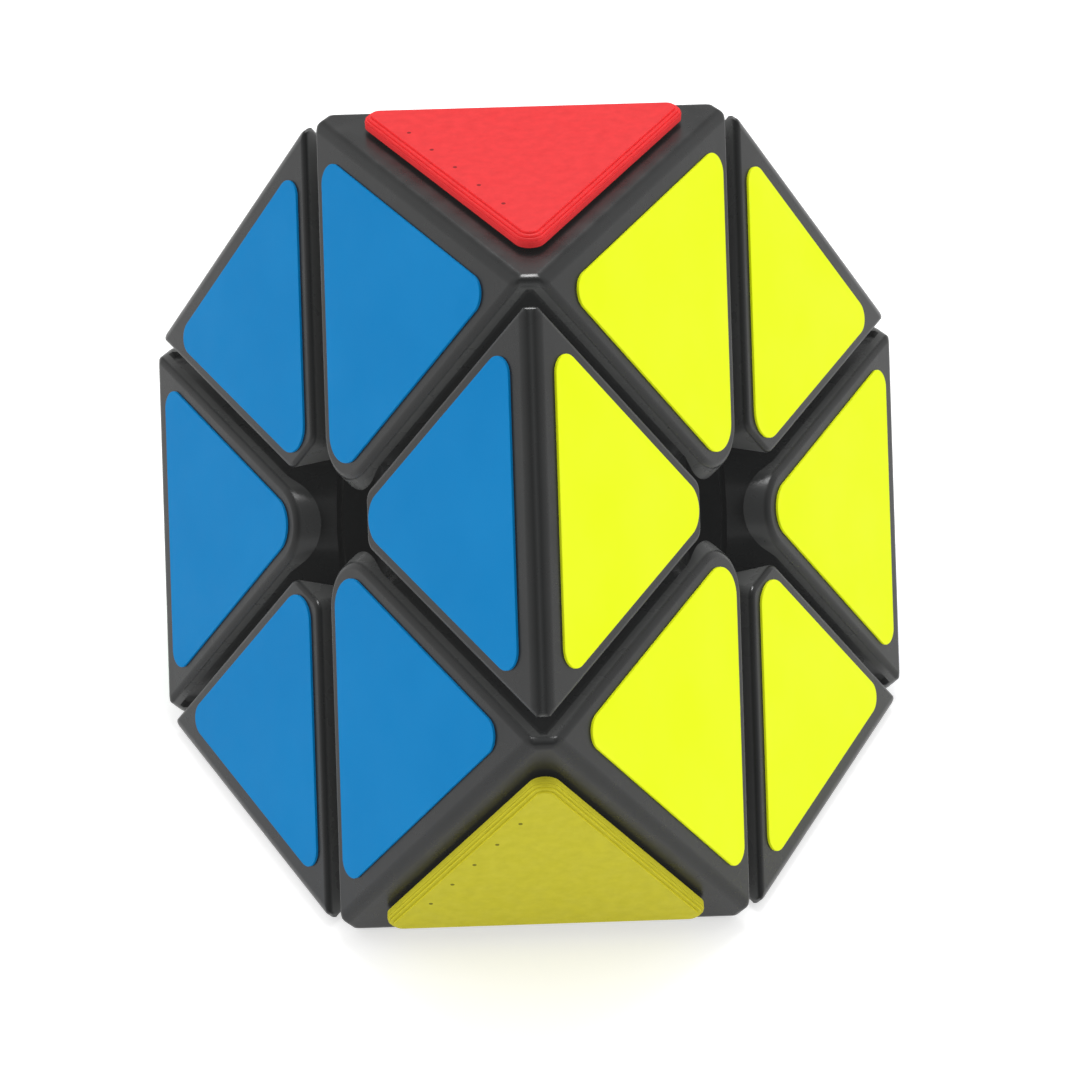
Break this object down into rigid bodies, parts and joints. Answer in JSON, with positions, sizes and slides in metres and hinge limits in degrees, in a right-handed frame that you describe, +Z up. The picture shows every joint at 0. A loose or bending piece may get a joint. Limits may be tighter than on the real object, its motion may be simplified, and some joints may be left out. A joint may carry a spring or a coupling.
{
  "type": "pyramid twisty puzzle",
  "caption": "Pyramid twist puzzle with its points cut off: triangular corner and edge pieces turn in layers about a hidden core, and a raised cap covers each flat point.",
  "frame": {"origin": "the centre of the mechanism, where the four turning axes cross", "axes": "+Z up along the top corner's turning axis, -Y towards the ridge between the blue and the yellow face, +X towards the yellow face; the puzzle lies on its red face"},
  "size_m": [0.0644, 0.0648, 0.0546],
  "materials": {
    "shell_black": "satin",
    "inner_black": "smooth",
    "core_white": "moulded",
    "steel": "plated",
    "sticker_blue": "vinyl film",
    "sticker_yellow": "fluorescent vinyl film",
    "sticker_green": "vinyl film",
    "sticker_red": "vinyl film",
    "cap_red": "printed",
    "cap_yellow": "printed",
    "cap_green": "printed",
    "cap_blue": "printed"
  },
  "bodies": {
    "core": {"core_spider": "core_white", "screw_top": "steel", "screw_front": "steel", "screw_left": "steel", "screw_right": "steel", "spring_top": "steel", "spring_front": "steel", "spring_left": "steel", "spring_right": "steel"},
    "corner_top": {"corner_shell_top": "shell_black", "corner_hub_top": "inner_black", "cap_top": "cap_red", "sticker_green_top": "sticker_green", "sticker_yellow_top": "sticker_yellow", "sticker_blue_top": "sticker_blue"},
    "corner_front": {"corner_shell_front": "shell_black", "corner_hub_front": "inner_black", "cap_front": "cap_yellow", "sticker_red_front": "sticker_red", "sticker_yellow_front": "sticker_yellow", "sticker_blue_front": "sticker_blue"},
    "corner_left": {"corner_shell_left": "shell_black", "corner_hub_left": "inner_black", "cap_left": "cap_green", "sticker_red_left": "sticker_red", "sticker_green_left": "sticker_green", "sticker_blue_left": "sticker_blue"},
    "corner_right": {"corner_shell_right": "shell_black", "corner_hub_right": "inner_black", "cap_right": "cap_blue", "sticker_red_right": "sticker_red", "sticker_green_right": "sticker_green", "sticker_yellow_right": "sticker_yellow"},
    "edge_top_front": {"edge_shell_top_front": "shell_black", "edge_foot_top_front": "inner_black", "sticker_yellow_top_front": "sticker_yellow", "sticker_blue_top_front": "sticker_blue"},
    "edge_top_left": {"edge_shell_top_left": "shell_black", "edge_foot_top_left": "inner_black", "sticker_green_top_left": "sticker_green", "sticker_blue_top_left": "sticker_blue"},
    "edge_top_right": {"edge_shell_top_right": "shell_black", "edge_foot_top_right": "inner_black", "sticker_green_top_right": "sticker_green", "sticker_yellow_top_right": "sticker_yellow"},
    "edge_front_left": {"edge_shell_front_left": "shell_black", "edge_foot_front_left": "inner_black", "sticker_red_front_left": "sticker_red", "sticker_blue_front_left": "sticker_blue"},
    "edge_front_right": {"edge_shell_front_right": "shell_black", "edge_foot_front_right": "inner_black", "sticker_red_front_right": "sticker_red", "sticker_yellow_front_right": "sticker_yellow"},
    "edge_left_right": {"edge_shell_left_right": "shell_black", "edge_foot_left_right": "inner_black", "sticker_red_left_right": "sticker_red", "sticker_green_left_right": "sticker_green"}
  },
  "joints": [
    {"name": "top_turn", "type": "hinge", "parent": "core", "child": "corner_top", "pos_m": [0, 0, 0], "axis": [0, 0, 1], "range_deg": [-240, 120]},
    {"name": "front_turn", "type": "hinge", "parent": "core", "child": "corner_front", "pos_m": [0, 0, 0], "axis": [0, -0.9428, -0.3333], "range_deg": [-240, 120]},
    {"name": "left_turn", "type": "hinge", "parent": "core", "child": "corner_left", "pos_m": [0, 0, 0], "axis": [-0.8165, 0.4714, -0.3333], "range_deg": [-240, 120]},
    {"name": "right_turn", "type": "hinge", "parent": "core", "child": "corner_right", "pos_m": [0, 0, 0], "axis": [0.8165, 0.4714, -0.3333], "range_deg": [-240, 120]},
    {"name": "top_front_turn", "type": "hinge", "parent": "corner_top", "child": "edge_top_front", "pos_m": [0, 0, 0], "axis": [0, -0.9428, -0.3333], "range_deg": [-240, 120]},
    {"name": "top_left_turn", "type": "hinge", "parent": "corner_top", "child": "edge_top_left", "pos_m": [0, 0, 0], "axis": [-0.8165, 0.4714, -0.3333], "range_deg": [-240, 120]},
    {"name": "top_right_turn", "type": "hinge", "parent": "corner_top", "child": "edge_top_right", "pos_m": [0, 0, 0], "axis": [0.8165, 0.4714, -0.3333], "range_deg": [-240, 120]},
    {"name": "front_left_turn", "type": "hinge", "parent": "corner_left", "child": "edge_front_left", "pos_m": [0, 0, 0], "axis": [0, -0.9428, -0.3333], "range_deg": [-240, 120]},
    {"name": "front_right_turn", "type": "hinge", "parent": "corner_front", "child": "edge_front_right", "pos_m": [0, 0, 0], "axis": [0.8165, 0.4714, -0.3333], "range_deg": [-240, 120]},
    {"name": "left_right_turn", "type": "hinge", "parent": "corner_right", "child": "edge_left_right", "pos_m": [0, 0, 0], "axis": [-0.8165, 0.4714, -0.3333], "range_deg": [-240, 120]}
  ],
  "couplings": [
    {"joint": "top_front_turn", "follows": "front_turn", "ratio": 1},
    {"joint": "top_left_turn", "follows": "left_turn", "ratio": 1},
    {"joint": "top_right_turn", "follows": "right_turn", "ratio": 1},
    {"joint": "front_left_turn", "follows": "front_turn", "ratio": 1},
    {"joint": "front_right_turn", "follows": "right_turn", "ratio": 1},
    {"joint": "left_right_turn", "follows": "left_turn", "ratio": 1}
  ]
}
